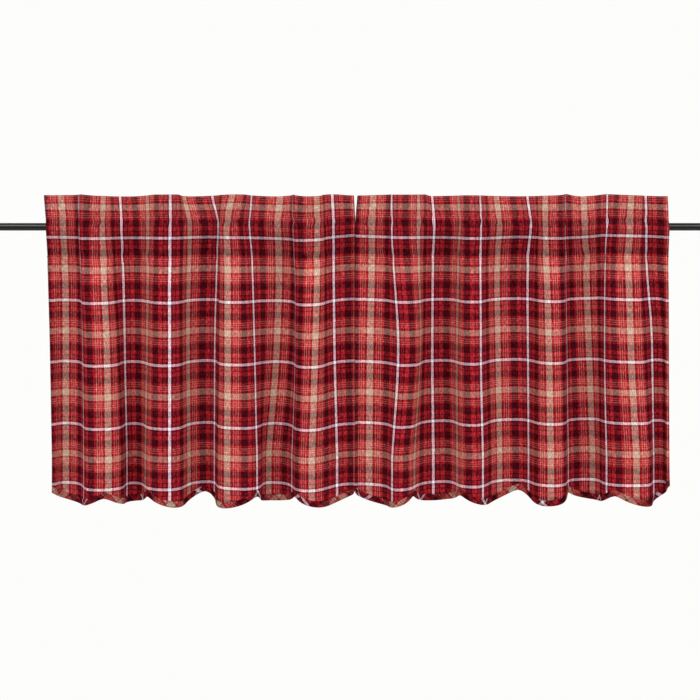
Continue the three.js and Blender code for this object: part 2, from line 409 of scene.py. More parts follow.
class Drape:
    """The gathered shape of one panel, worked out from its fold lines."""

    SAMPLES = 97  # places from one fold line to the next
    TRIED_BENDS = np.linspace(0.01, 2.3, 120)  # steepest turn of a fold, in radians

    def __init__(self, side: Side) -> None:
        """Keeps the panel's fold lines and its flicked corner.

        Args:
            side: which panel it is.
        """
        self.folds = FOLDS[side]
        self.flicked = FLICKS[side]

    def _flick_share(self, cloth: np.ndarray) -> np.ndarray:
        """How much of the free corner's flick each place along the cloth gets."""
        return np.clip((cloth - PANEL_WIDTH) / self.flicked.reach + 1, 0, 1) ** 2

    def flick(self, points: np.ndarray, cloth: np.ndarray) -> None:
        """Swings the free corner of a piece, in place.

        Args:
            points: its points in millimetres, rows by columns by 3.
            cloth: places along the flat cloth, one for each column.
        """
        down = np.clip((LOW_Z - points[..., 2]) / (LOW_Z - TIP_Z), 0, 1) ** 2
        share = self._flick_share(cloth) * down
        points[..., 0] += self.flicked.out * share
        points[..., 1] += self.flicked.back * share

    def edge_z(self, cloth: np.ndarray) -> np.ndarray:
        """Height of the cut edge: round lobes that meet in small rounded notches."""
        pitch = PANEL_WIDTH / SCALLOPS
        from_tip = np.mod(cloth, pitch) - pitch / 2
        radius = (pitch**2 / 4 + SCALLOP_DEPTH**2) / (2 * SCALLOP_DEPTH)
        up = radius - np.sqrt(radius**2 - from_tip**2)
        inside = (cloth > pitch / 2) & (cloth < PANEL_WIDTH - pitch / 2)
        ease = (pitch / 2 - abs(from_tip)) / NOTCH_EASE
        dip = np.where(inside & (ease < 1), (1 - np.clip(ease, 0, 1)) ** 2 * NOTCH_EASE / 4, 0)
        return TIP_Z + up - dip + self.flicked.rise * self._flick_share(cloth)

    @staticmethod
    def fold_x(fold: Fold, z: np.ndarray) -> np.ndarray:
        """X of a fold line at each height."""
        heights = [LOW_Z, MID_Z, POCKET_SEAM_Z, 0.0, TOP_Z]
        return through(z, heights, [fold.low, fold.mid, fold.seam, fold.rod, fold.top])

    def _span(
        self, start: Fold, end: Fold, z: np.ndarray, share: np.ndarray
    ) -> tuple[np.ndarray, np.ndarray]:
        """Hangs the cloth from one fold line to the next.

        The cloth turns away from the rod and back again, so that its length along the fold
        stays the flat cloth's.

        Args:
            start: the fold line it leaves.
            end: the fold line it reaches.
            z: heights, one for each row.
            share: how far between the lines each column is, 0 to 1.

        Returns:
            X and stand, for each row and column.
        """
        t = np.linspace(0, 1, self.SAMPLES)
        x0, x1 = self.fold_x(start, z), self.fold_x(end, z)
        opened = (x1 - x0) / (end.cloth - start.cloth)
        down = np.clip((TOP_Z - z) / (TOP_Z - LOW_Z), 0, 1)
        lean = start.lean_top + (start.lean_low - start.lean_top) * down
        late, early = t ** np.exp(lean)[:, None], 1 - (1 - t) ** np.exp(-lean)[:, None]
        turn = np.sin(math.pi * np.where(lean[:, None] >= 0, late, early))
        bends = self.TRIED_BENDS
        angle = np.empty_like(turn)
        for k, row in enumerate(turn):
            spans = np.trapz(np.cos(bends[:, None] * row), t, axis=1)
            angle[k] = np.interp(opened[k], spans[::-1], bends[::-1]) * row
        shares = []
        for part in (np.cos(angle), np.sin(angle)):
            run = np.cumsum((part[:, 1:] + part[:, :-1]) / 2, axis=1)
            run = np.concatenate([np.zeros((len(z), 1)), run], axis=1)
            run /= run[:, -1:]
            shares.append(np.array([np.interp(share, t, row) for row in run]))
        x = x0[:, None] + (x1 - x0)[:, None] * shares[0]
        return x, start.stand + (end.stand - start.stand) * shares[1]

    def hang(self, z: np.ndarray, cloth: np.ndarray) -> tuple[np.ndarray, np.ndarray]:
        """Where the cloth hangs.

        Args:
            z: heights, one for each row.
            cloth: places along the flat cloth, one for each column.

        Returns:
            X and stand, for each row and column.
        """
        x = np.zeros((len(z), len(cloth)))
        stand = np.zeros_like(x)
        for start, end in zip(self.folds, self.folds[1:]):
            inside = (cloth >= start.cloth - 1e-6) & (cloth <= end.cloth + 1e-6)
            share = (cloth[inside] - start.cloth) / (end.cloth - start.cloth)
            x[:, inside], stand[:, inside] = self._span(start, end, z, np.clip(share, 0, 1))
        return x, stand

    def middle(self, stations: tuple[Stand, ...], z: np.ndarray, cloth: np.ndarray) -> np.ndarray:
        """Middle of a layer, without its own thickness.

        Args:
            stations: how deep the layer's folds are at each height.
            z: heights, one for each row.
            cloth: places along the flat cloth, one for each column.

        Returns:
            Points in millimetres, rows by columns by 3.
        """
        x, stand = self.hang(z, cloth)
        ridge, valley = np.zeros_like(z), np.zeros_like(z)
        # the header seam pinches the layers, so they turn sharply there
        for part, rows in ((z >= HEADER_SEAM_Z, HEADER), (z < HEADER_SEAM_Z, stations)):
            rows = sorted(rows, key=lambda station: station.z)
            heights = [station.z for station in rows]
            ridge[part] = through(z[part], heights, [station.ridge for station in rows])
            valley[part] = through(z[part], heights, [station.valley for station in rows])
        share = (FOLD - stand) / (2 * FOLD)
        y = valley[:, None] + (ridge - valley)[:, None] * share
        return np.stack([x, y, np.broadcast_to(z[:, None], x.shape)], axis=2)


def normals(points: np.ndarray) -> np.ndarray:
    """Unit normals of a grid of points, away from the room where the grid runs right and up."""
    right = np.gradient(points, axis=1)
    up = np.gradient(points, axis=0)
    normal = np.cross(up, right)
    return -normal / np.maximum(np.linalg.norm(normal, axis=2, keepdims=True), 1e-9)


def normals_level(points: np.ndarray) -> np.ndarray:
    """Unit normals of a grid of points whose rows run right, kept level, away from the room."""
    right = np.gradient(points, axis=1)
    normal = np.stack([-right[..., 1], right[..., 0], np.zeros(right.shape[:2])], axis=2)
    return normal / np.maximum(np.linalg.norm(normal, axis=2, keepdims=True), 1e-9)


# ---- Meshes ----


def shell(
    name: str, middle: np.ndarray, thick: np.ndarray, flat: np.ndarray
) -> bpy.types.Object:
    """Closed thin piece round a grid of points.

    Args:
        name: the piece's name.
        middle: its middle surface in millimetres, rows by columns by 3.
        thick: its thickness in millimetres at each point.
        flat: where each point lies on the flat cloth in millimetres, for the UV map.

    Returns:
        The new object.
    """
    rows, columns = middle.shape[:2]
    offset = normals(middle) * (thick / 2)[..., None]
    sides = [(middle - offset).reshape(-1, 3), (middle + offset).reshape(-1, 3)]
    index = np.arange(rows * columns).reshape(rows, columns)
    a, b = index[:-1, :-1].ravel(), index[:-1, 1:].ravel()
    c, d = index[1:, 1:].ravel(), index[1:, :-1].ravel()
    ring = np.concatenate(
        [index[0, :], index[1:, -1], index[-1, -2::-1], index[-2:0:-1, 0]]
    )
    after = np.roll(ring, -1)
    below = rows * columns
    quads = np.concatenate([
        np.stack([a, b, c, d], axis=1),
        np.stack([a, d, c, b], axis=1) + below,
        np.stack([ring, ring + below, after + below, after], axis=1),
    ])
    mesh = bpy.data.meshes.new(name)
    mesh.from_pydata((np.concatenate(sides) * MM).tolist(), [], quads.tolist())
    place = np.tile(flat.reshape(-1, 2), (2, 1)) * MM
    layer = mesh.uv_layers.new(name="cloth")
    layer.data.foreach_set("uv", place[quads.ravel()].astype(np.float32).ravel())
    mesh.polygons.foreach_set("use_smooth", np.ones(len(quads), bool))
    mesh.update()
    piece = bpy.data.objects.new(name, mesh)
    bpy.context.scene.collection.objects.link(piece)
    return piece


# ---- Finishes ----


def linear(colour: str) -> tuple[float, float, float, float]:
    """Turns an sRGB hex colour into the linear one that the nodes take."""
    values = [int(colour[k : k + 2], 16) / 255 for k in (1, 3, 5)]
    return (*(v / 12.92 if v <= 0.04045 else ((v + 0.055) / 1.055) ** 2.4 for v in values), 1.0)


def add(
    tree: bpy.types.NodeTree, kind: str, inputs: dict | None = None, **settings: object
) -> bpy.types.Node:
    """Adds a node with its settings and links.

    Args:
        tree: the node tree it goes in.
        kind: the node's type.
        inputs: for each input's name or number, a value or the output that feeds it.
        settings: the node's own settings.

    Returns:
        The new node.
    """
    node = tree.nodes.new(kind)
    for name, value in settings.items():
        setattr(node, name, value)
    for key, value in (inputs or {}).items():
        if isinstance(value, bpy.types.NodeSocket):
            tree.links.new(value, node.inputs[key])
        else:
            node.inputs[key].default_value = value
    return node


class Yarn(Enum):
    """The dyed cotton yarns of the check."""

    WHITE = "#EADCE7"
    BLACK = "#400B13"
    RED = "#9F242D"
    SCARLET = "#AC2C31"
    WINE = "#861C26"
    TAN = "#BAA08C"

    @property
    def cover(self) -> float:
        """How much of a crossing the yarn covers: the paler ones are bulkier."""
        return {Yarn.WHITE: 0.96, Yarn.TAN: 0.72, Yarn.BLACK: 0.65}.get(self, 0.6)


@dataclass(frozen=True)
class Stripe:
    """One stripe of the check: where it starts, in millimetres from the white line's middle."""

    start: float
    yarn: Yarn


CHECK = (
    Stripe(0, Yarn.WHITE),
    Stripe(2.5, Yarn.BLACK),
    Stripe(5.6, Yarn.WINE),
    Stripe(11.6, Yarn.BLACK),
    Stripe(13.7, Yarn.RED),
    Stripe(21.8, Yarn.BLACK),
    Stripe(34.6, Yarn.RED),
    Stripe(40.2, Yarn.TAN),
    Stripe(41.0, Yarn.SCARLET),
    Stripe(44.4, Yarn.TAN),
    Stripe(45.2, Yarn.SCARLET),
    Stripe(48.7, Yarn.TAN),
    Stripe(49.5, Yarn.SCARLET),
    Stripe(51.8, Yarn.WINE),
    Stripe(55.0, Yarn.TAN),
)


@dataclass(frozen=True)
class YarnSet:
    """What one set of yarns brings to a crossing: dye, ups and downs, cover and flecks."""

    dye: bpy.types.NodeSocket
    wave: bpy.types.NodeSocket
    cover: bpy.types.NodeSocket
    fleck: bpy.types.NodeSocket


@dataclass(frozen=True)
class CheckCotton:
    """Yarn-dyed plain-weave cotton check.

    The two sets of yarn pass over and under each other, so a crossing shows both colours,
    and the matt, slightly fuzzy surface gives no highlight.
    """

    name: str = "yarn_dyed_cotton_check"
    warp_half: float = 64.25  # from a white line to the middle of a tan stripe, across the cloth
    weft_half: float = 61.0  # the same down the cloth
    warp_white: float = 97.25  # the first white line from the side hem
    weft_white: float = 83.7  # the first white line from the header's fold
    yarn: float = 0.9  # yarns are about 0.45 mm apart, drawn twice as coarse so that they show
    doubled: float = 120.0  # the cloth is doubled down to here, and painted shade is drawn that far
    painted_shade: float = 0.915  # painted shade: how much darker the doubled cloth is drawn, as less light shines through it
    turned: float = 0.0  # angle of the cloth to its weave; 45 degrees is on the bias
    slub: float = 0.22  # how uneven the yarns' dye is
    slub_width: float = 1.7  # slubs are as thin as a yarn, drawn coarser so that they show
    slub_length: float = 8.0
    blend: float = 2.2  # dyes are mixed with their colours raised to 1 over this
    depth: float = 2.38  # above blend the dyes look deeper where yarns shade each other
    darkest: float = 0.03  # no dye is darker than this before it is deepened
    doubled_edge: float = 3.0  # half the width over which the painted shade of the doubled cloth ends
    fleck: float = 0.12  # how much lighter and darker the yarns' slubs are

    def _ramp(
        self, tree: bpy.types.NodeTree, along: bpy.types.NodeSocket, half: float
    ) -> bpy.types.Node:
        """Colours of one set of yarns, with their cover as alpha.

        Args:
            tree: the material's tree.
            along: distance across those yarns, in millimetres from a white line.
            half: half the repeat.

        Returns:
            The colour ramp.
        """
        fold = add(tree, "ShaderNodeMath", {0: along, 1: half}, operation="PINGPONG")
        share = add(tree, "ShaderNodeMath", {0: fold.outputs[0], 1: half}, operation="DIVIDE")
        node = add(tree, "ShaderNodeValToRGB", {0: share.outputs[0]})
        ramp = node.color_ramp
        ramp.interpolation = "CONSTANT"
        for k, stripe in enumerate(CHECK):
            stop = ramp.elements[k] if k < 2 else ramp.elements.new(1)
            stop.position = stripe.start / self.weft_half
            stop.color = (*linear(stripe.yarn.value)[:3], stripe.yarn.cover)
        return node

    def _yarns(
        self,
        tree: bpy.types.NodeTree,
        cloth: bpy.types.NodeSocket,
        along: bpy.types.NodeSocket,
        warp: bool,
    ) -> YarnSet:
        """One set of yarns, with its stripes and its slubs.

        Args:
            tree: the material's tree.
            cloth: place on the flat cloth, in millimetres.
            along: the part of that place which runs across these yarns.
            warp: whether they are the warp, which runs down the cloth.

        Returns:
            The set's sockets.
        """
        first = self.warp_white if warp else self.weft_white
        half = self.warp_half if warp else self.weft_half
        from_white = add(tree, "ShaderNodeMath", {0: along, 1: first}, operation="SUBTRACT")
        ramp = self._ramp(tree, from_white.outputs[0], half)
        # each yarn is a little lighter or darker, redder or bluer, along its length
        fine, long = 1 / self.slub_width, 1 / self.slub_length
        stretch = (fine, long, 1) if warp else (long, fine, 1)
        drawn = add(tree, "ShaderNodeMapping", {0: cloth, "Scale": stretch})
        noise = add(
            tree,
            "ShaderNodeTexNoise",
            {"Vector": drawn.outputs[0], "Scale": 1.0, "Detail": 1.0},
            noise_dimensions="2D",
        )
        value = add(
            tree,
            "ShaderNodeMapRange",
            {
                6: noise.outputs[1],
                7: (0.25,) * 3,
                8: (0.75,) * 3,
                9: (1 - self.slub,) * 3,
                10: (1 + self.slub,) * 3,
            },
            data_type="FLOAT_VECTOR",
        )
        uneven = add(
            tree,
            "ShaderNodeVectorMath",
            {0: ramp.outputs[0], 1: value.outputs["Vector"]},
            operation="MULTIPLY",
        )
        # dyed yarns shade each other where they cross, so they blend as dyes do
        dye = add(tree, "ShaderNodeGamma", {0: uneven.outputs[0], 1: 1 / self.blend})
        wave = add(
            tree, "ShaderNodeMath", {0: along, 1: math.pi / self.yarn}, operation="MULTIPLY"
        )
        sine = add(tree, "ShaderNodeMath", {0: wave.outputs[0]}, operation="SINE")
        fleck = add(
            tree,
            "ShaderNodeMapRange",
            {0: noise.outputs[0], 1: 0.25, 2: 0.75, 3: -self.fleck, 4: self.fleck},
        )
        return YarnSet(dye.outputs[0], sine.outputs[0], ramp.outputs[1], fleck.outputs[0])

    def _weave(
        self,
        tree: bpy.types.NodeTree,
        warp: YarnSet,
        weft: YarnSet,
        crossing: bpy.types.NodeSocket,
    ) -> bpy.types.NodeSocket:
        """Weaves the two sets of yarns together.

        Args:
            tree: the material's tree.
            warp: the yarns down the cloth.
            weft: the yarns across it.
            crossing: which set lies on top, above 0 for one and below 0 for the other.

        Returns:
            The woven colour.
        """
        both = add(tree, "ShaderNodeMath", {0: warp.cover, 1: weft.cover}, operation="ADD")
        share = add(
            tree, "ShaderNodeMath", {0: weft.cover, 1: both.outputs[0]}, operation="DIVIDE"
        )
        # the warp lies a little more on the face than the weft
        swing = add(
            tree, "ShaderNodeMapRange", {0: crossing, 1: -0.5, 2: 0.5, 3: -0.25, 4: 0.15}
        )
        over = add(
            tree,
            "ShaderNodeMath",
            {0: share.outputs[0], 1: swing.outputs[0]},
            operation="ADD",
        )
        woven = add(
            tree,
            "ShaderNodeMix",
            {0: over.outputs[0], 6: warp.dye, 7: weft.dye},
            data_type="RGBA",
        )
        # a slub catches more light or less than the yarns beside it
        red = add(tree, "ShaderNodeSeparateColor", {0: woven.outputs[2]})
        flecks = add(
            tree,
            "ShaderNodeMath",
            {0: weft.fleck, 1: 0.5, 2: warp.fleck},
            operation="MULTIPLY_ADD",
        )
        glint = add(
            tree,
            "ShaderNodeMath",
            {0: red.outputs[0], 1: flecks.outputs[0]},
            operation="MULTIPLY",
        )
        flecked = add(
            tree,
            "ShaderNodeVectorMath",
            {0: woven.outputs[2], 1: glint.outputs[0]},
            operation="ADD",
        )
        return flecked.outputs[0]

    def _shade_and_deepen(
        self,
        tree: bpy.types.NodeTree,
        woven: bpy.types.NodeSocket,
        from_top: bpy.types.NodeSocket,
    ) -> bpy.types.NodeSocket:
        """Paints shade on the doubled cloth, then deepens the dyes.

        Args:
            tree: the material's tree.
            woven: the woven colour.
            from_top: distance down the cloth from the header's fold, in millimetres.

        Returns:
            The finished colour.
        """
        # painted shade: light shines through the single cloth and not through the doubled top, so
        # the doubled top is drawn darker
        down = add(tree, "ShaderNodeMath", {0: from_top}, operation="ABSOLUTE")
        start, end = self.doubled - self.doubled_edge, self.doubled + self.doubled_edge
        doubled = add(
            tree,
            "ShaderNodeMapRange",
            {0: down.outputs[0], 1: start, 2: end, 3: self.painted_shade, 4: 1.0},
        )
        shaded = add(
            tree,
            "ShaderNodeVectorMath",
            {0: woven, "Scale": doubled.outputs[0]},
            operation="SCALE",
        )
        kept = add(
            tree,
            "ShaderNodeVectorMath",
            {0: shaded.outputs[0], 1: (self.darkest,) * 3},
            operation="MAXIMUM",
        )
        colour = add(tree, "ShaderNodeGamma", {0: kept.outputs[0], 1: self.depth})
        return colour.outputs[0]

    def build(self) -> bpy.types.Material:
        """Makes the material.

        Returns:
            The new material.
        """
        material = bpy.data.materials.new(self.name)
        material.use_nodes = True
        tree = material.node_tree
        shader = tree.nodes["Principled BSDF"]
        place = add(tree, "ShaderNodeUVMap", uv_map="cloth")
        cloth = add(
            tree,
            "ShaderNodeMapping",
            {
                0: place.outputs[0],
                "Scale": (1 / MM, 1 / MM, 1),
                "Rotation": (0, 0, math.radians(self.turned)),
            },
        )
        axes = add(tree, "ShaderNodeSeparateXYZ", {0: cloth.outputs[0]})
        warp = self._yarns(tree, cloth.outputs[0], axes.outputs[0], True)
        weft = self._yarns(tree, cloth.outputs[0], axes.outputs[1], False)
        crossing = add(tree, "ShaderNodeMath", {0: warp.wave, 1: weft.wave}, operation="MULTIPLY")
        woven = self._weave(tree, warp, weft, crossing.outputs[0])
        colour = self._shade_and_deepen(tree, woven, axes.outputs[1])
        crown = add(tree, "ShaderNodeMath", {0: crossing.outputs[0]}, operation="ABSOLUTE")
        relief = add(
            tree,
            "ShaderNodeBump",
            {"Strength": 0.35, "Distance": 0.12 * MM, "Height": crown.outputs[0]},
        )
        tree.links.new(colour, shader.inputs["Base Color"])
        tree.links.new(relief.outputs[0], shader.inputs["Normal"])
        shader.inputs["Roughness"].default_value = 0.9
        shader.inputs["IOR"].default_value = 1.45
        shader.inputs["Specular IOR Level"].default_value = 0.02
        return material


@dataclass(frozen=True)
class SatinBlackPaint:
    """Satin black enamel on steel tube: a soft grey streak of light along a black bar."""

    name: str = "satin_black_enamel"
    colour: str = "#0D0B0D"
    roughness: float = 0.2
    peel: float = 0.6  # orange peel of a sprayed coat, in millimetres

    def build(self) -> bpy.types.Material:
        """Makes the material.

        Returns:
            The new material.
        """
        material = bpy.data.materials.new(self.name)
        material.use_nodes = True
        tree = material.node_tree
        shader = tree.nodes["Principled BSDF"]
        place = add(tree, "ShaderNodeTexCoord")
        noise = add(
            tree,
            "ShaderNodeTexNoise",
            {"Vector": place.outputs["Object"], "Scale": 1 / (self.peel * MM), "Detail": 2.0},
        )
        relief = add(
            tree,
            "ShaderNodeBump",
            {"Strength": 0.06, "Distance": 0.05 * MM, "Height": noise.outputs[0]},
        )
        rough = add(
            tree,
            "ShaderNodeMapRange",
            {0: noise.outputs[0], 3: self.roughness - 0.05, 4: self.roughness + 0.05},
        )
        tree.links.new(relief.outputs[0], shader.inputs["Normal"])
        tree.links.new(rough.outputs[0], shader.inputs["Roughness"])
        shader.inputs["Base Color"].default_value = linear(self.colour)
        shader.inputs["IOR"].default_value = 1.5
        shader.inputs["Specular IOR Level"].default_value = 0.28
        return material


@dataclass(frozen=True)
class SewingThread:
    """Spun polyester thread: a dull dark red line that sinks into the check."""

    name: str = "polyester_sewing_thread"
    colour: str = "#7E1A26"

    def build(self) -> bpy.types.Material:
        """Makes the material.

        Returns:
            The new material.
        """
        material = bpy.data.materials.new(self.name)
        material.use_nodes = True
        tree = material.node_tree
        shader = tree.nodes["Principled BSDF"]
        place = add(tree, "ShaderNodeTexCoord")
        noise = add(
            tree, "ShaderNodeTexNoise", {"Vector": place.outputs["Object"], "Scale": 900.0}
        )
        shade = add(
            tree,
            "ShaderNodeMapRange",
            {0: noise.outputs[0], 3: 0.7, 4: 1.3},
        )
        colour = add(
            tree,
            "ShaderNodeVectorMath",
            {0: linear(self.colour)[:3], "Scale": shade.outputs[0]},
            operation="SCALE",
        )
        tree.links.new(colour.outputs[0], shader.inputs["Base Color"])
        shader.inputs["Roughness"].default_value = 0.7
        return material


@dataclass(frozen=True)
class StudioWhite:
    """White acrylic lit from below: even, shadowless white."""

    name: str = "lit_white_acrylic"
    colour: str = "#FDFDFB"

    def build(self) -> bpy.types.Material:
        """Makes the material.

        Returns:
            The new material.
        """
        material = bpy.data.materials.new(self.name)
        material.use_nodes = True
        shader = material.node_tree.nodes["Principled BSDF"]
        shader.inputs["Base Color"].default_value = (0, 0, 0, 1)
        shader.inputs["Specular IOR Level"].default_value = 0.0
        shader.inputs["Emission Color"].default_value = linear(self.colour)
        shader.inputs["Emission Strength"].default_value = 1.0
        return material


# ---- Stitches ----


@dataclass(frozen=True)
class Stitching:
    """A row of lockstitch along a seam."""

    length: float = 2.5
    spacing: float = 3.0
    thread: float = 0.35

    def tree(self, material: bpy.types.Material) -> bpy.types.NodeTree:
        """Geometry Nodes that lay one stitch after another along a line.

        Args:
            material: the thread's finish.

        Returns:
            The node tree, with the sizes as named inputs.
        """
        tree = bpy.data.node_groups.new("stitch_row", "GeometryNodeTree")
        sockets = tree.interface
        sockets.new_socket("Seam", in_out="INPUT", socket_type="NodeSocketGeometry")
        for name in ("Stitch length", "Stitch spacing", "Thread thickness"):
            sockets.new_socket(name, in_out="INPUT", socket_type="NodeSocketFloat")
        sockets.new_socket("Stitches", in_out="OUTPUT", socket_type="NodeSocketGeometry")
        given = add(tree, "NodeGroupInput")
        curve = add(tree, "GeometryNodeMeshToCurve", {0: given.outputs["Seam"]})
        points = add(
            tree,
            "GeometryNodeResampleCurve",
            {"Curve": curve.outputs[0], "Length": given.outputs["Stitch spacing"]},
            mode="LENGTH",
        )
        tangent = add(tree, "GeometryNodeInputTangent")
        turn = add(
            tree,
            "FunctionNodeAlignRotationToVector",
            {"Vector": tangent.outputs[0]},
            axis="X",
        )
        size = add(
            tree,
            "ShaderNodeCombineXYZ",
            {
                0: given.outputs["Stitch length"],
                1: given.outputs["Thread thickness"],
                2: given.outputs["Thread thickness"],
            },
        )
        stitch = add(
            tree, "GeometryNodeMeshUVSphere", {"Segments": 6, "Rings": 4, "Radius": 0.5}
        )
        laid = add(
            tree,
            "GeometryNodeInstanceOnPoints",
            {
                "Points": points.outputs[0],
                "Instance": stitch.outputs[0],
                "Rotation": turn.outputs[0],
                "Scale": size.outputs[0],
            },
        )
        real = add(tree, "GeometryNodeRealizeInstances", {0: laid.outputs[0]})
        finish = add(
            tree, "GeometryNodeSetMaterial", {"Geometry": real.outputs[0], "Material": material}
        )
        add(tree, "NodeGroupOutput", {0: finish.outputs[0]})
        return tree

    def sew(
        self, name: str, lines: list[np.ndarray], material: bpy.types.Material
    ) -> bpy.types.Object:
        """Sews rows of stitches and turns them into one plain mesh.

        Args:
            name: the piece's name.
            lines: the seams, each a row of points in millimetres.
            material: the thread's finish.

        Returns:
            The new object.
        """
        points, edges, start = [], [], 0
        for line in lines:
            points.append(line * MM)
            edges += [(start + k, start + k + 1) for k in range(len(line) - 1)]
            start += len(line)
        path = bpy.data.meshes.new(f"{name}_path")
        path.from_pydata(np.concatenate(points).tolist(), edges, [])
        guide = bpy.data.objects.new(f"{name}_path", path)
        bpy.context.scene.collection.objects.link(guide)
        tree = self.tree(material)
        modifier = guide.modifiers.new("stitches", "NODES")
        modifier.node_group = tree
        sizes = {
            "Stitch length": self.length,
            "Stitch spacing": self.spacing,
            "Thread thickness": self.thread,
        }
        for item in tree.interface.items_tree:
            if item.in_out == "INPUT" and item.name in sizes:
                modifier[item.identifier] = sizes[item.name] * MM
        graph = bpy.context.evaluated_depsgraph_get()
        mesh = bpy.data.meshes.new_from_object(guide.evaluated_get(graph))
        mesh.name = name
        mesh.materials.clear()
        mesh.materials.append(material)
        bpy.data.objects.remove(guide)
        piece = bpy.data.objects.new(name, mesh)
        bpy.context.scene.collection.objects.link(piece)
        return piece


# ---- The panels ----


@dataclass
class Panel:
    """One curtain panel: its cloth, its bias binding and its stitching."""

    side: Side
    seed: int
    columns: int = 240
    strip_columns: int = 420
    thick: float = 0.9
    hem_width: float = 11.0

    def __post_init__(self) -> None:
        """Works out the drape."""
        self.drape = Drape(self.side)
        self.cloth = np.linspace(0, PANEL_WIDTH, self.columns + 1)

    def _rows(self) -> tuple[np.ndarray, np.ndarray]:
        """Heights of the cloth's rows, up its front and down its back.

        Returns:
            Heights up the front and heights down the back, in millimetres.
        """
        front = np.concatenate([
            np.linspace(TIP_Z, -500, 13)[:-1],
            np.linspace(-500, -90, 81)[:-1],
            np.linspace(-90, TOP_Z - 1, 62),
        ])
        back = np.linspace(TOP_Z - 1, POCKET_SEAM_Z - 3, 46)
        return front, back

    def _relief(self, points: np.ndarray, face: Face) -> np.ndarray:
        """Puckers at the seams and the small unevenness of gathered cloth.

        Args:
            points: the middle of a layer, in millimetres.
            face: which layer it is.

        Returns:
            How far each point moves along Y, in millimetres.
        """
        rng = np.random.default_rng(self.seed)
        z = points[..., 2]
        cloth = np.broadcast_to(self.cloth, z.shape)
        small = ripple(cloth + POCKET_PUCKERS.slant * z, rng, POCKET_PUCKERS)
        drawn = ripple(cloth + GATHERS.slant * z, rng, GATHERS)
        header = ripple(cloth, rng, HEADER_PUCKERS)
        pulls = (
            small * bump(z, POCKET_SEAM_Z, 26, 16)
            + header * bump(z, HEADER_SEAM_Z, 9, 18)
            + drawn * soft_step(z, -330, -120)
        )
        if face is Face.WINDOW:
            pulls = pulls * 0.8
        return pulls

    def _pucker(self, points: np.ndarray) -> np.ndarray:
        """How the seams' gathers push the cloth along the rod.

        Args:
            points: the middle of a layer, in millimetres.

        Returns:
            How far each point moves along X, in millimetres.
        """
        rng = np.random.default_rng(self.seed + 2)
        z = points[..., 2]
        cloth = np.broadcast_to(self.cloth, z.shape)
        header = ripple(cloth, rng, HEADER_PUSH)
        pocket = ripple(cloth, rng, POCKET_PUSH)
        edge = soft_step(np.minimum(cloth, PANEL_WIDTH - cloth), 0, 20)
        return edge * (
            header * bump(z, HEADER_SEAM_Z, 8, 7)
            + pocket * bump(z, POCKET_SEAM_Z, 12, 9)
        )

    def _layer(self, stations: tuple[Stand, ...], z: np.ndarray, face: Face) -> np.ndarray:
        """One layer of the cloth, with its puckers.

        Args:
            stations: how deep its folds are at each height.
            z: heights, one for each row.
            face: which layer it is.

        Returns:
            Points in millimetres, rows by columns by 3.
        """
        points = self.drape.middle(stations, z, self.cloth)
        points[..., 1] += self._relief(points, face)
        points[..., 0] += self._pucker(points)
        if face is Face.ROOM:
            apart = LAYER_APART * soft_step(z, -90, POCKET_SEAM_Z)
        else:
            apart = np.full_like(z, LAYER_APART)
        between = HEADER_PUFF * bump(z, 36, 16, 18)
        offset = face.value * (apart + between)[:, None, None]
        points += normals_level(points) * offset
        return points

    def _creep(self, z: np.ndarray) -> np.ndarray:
        """How much further down the flat cloth each place of the front lies than its height says.

        Args:
            z: heights, one for each row.

        Returns:
            The creep in millimetres, for each row and column.
        """
        rows, tugs = CREEP[self.side], TUGS[self.side]
        down = through(z, [row.z for row in rows], [row.more for row in rows])[:, None]
        places = [tug.cloth for tug in tugs]
        header = through(self.cloth, places, [tug.header for tug in tugs])
        hem = through(self.cloth, places, [tug.hem for tug in tugs])
        high = np.clip((z - TIP_Z) / -TIP_Z, 0, 1)[:, None]
        # at the header's fold both layers meet again
        meet = soft_step(z, TOP_Z, HEADER_SEAM_Z)[:, None]
        return down + (header * high + hem * (1 - high)) * meet

    def surface(self) -> tuple[np.ndarray, np.ndarray]:
        """The whole sheet, from the cut edge up the front, over the top and down the back.

        Returns:
            Its points and where they lie on the flat cloth, in millimetres.
        """
        up, down = self._rows()
        front = self._layer(FRONT, up, Face.ROOM)
        back = self._layer(BACK, down, Face.WINDOW)
        # the lower edge follows the scallops
        reach = soft_step(up, -500, TIP_Z)[:, None]
        front[..., 2] += (self.drape.edge_z(self.cloth) - TIP_Z)[None, :] * reach
        self.drape.flick(front, self.cloth)
        # over the top the cloth turns in a half round
        turn = []
        for share in (0.25, 0.5, 0.75):
            point = front[-1] + (back[0] - front[-1]) * (1 - math.cos(math.pi * share)) / 2
            point = point + np.array([0, 0, math.sin(math.pi * share)])
            turn.append(point)
        points = np.concatenate([front, np.array(turn), back])
        rises = RISES[self.side]
        rise = through(self.cloth, [r.cloth for r in rises], [r.up for r in rises])
        points[..., 2] += rise * soft_step(points[..., 2], HEADER_SEAM_Z, TOP_Z)
        more = self._creep(up)
        down_cloth = np.concatenate([
            TOP_Z - front[..., 2] + more,
            np.zeros((3, len(self.cloth))),
            down[:, None] - TOP_Z + np.zeros((1, len(self.cloth))),
        ])
        flat = np.stack([np.broadcast_to(self.cloth, down_cloth.shape), down_cloth], axis=2)
        return points, flat

    def build_cloth(self, material: bpy.types.Material) -> bpy.types.Object:
        """Makes the cloth.

        Args:
            material: its finish.

        Returns:
            The new object.
        """
        points, flat = self.surface()
        side = np.minimum(self.cloth, PANEL_WIDTH - self.cloth)
        # the side hems are turned in, so the cloth is doubled there
        thick = self.thick * (1 + 0.8 * soft_step(side, self.hem_width + 1, self.hem_width - 1))
        piece = shell(
            f"cloth_{self.side.value}",
            points,
            np.broadcast_to(thick, points.shape[:2]),
            flat,
        )
        piece.data.materials.append(material)
        return piece

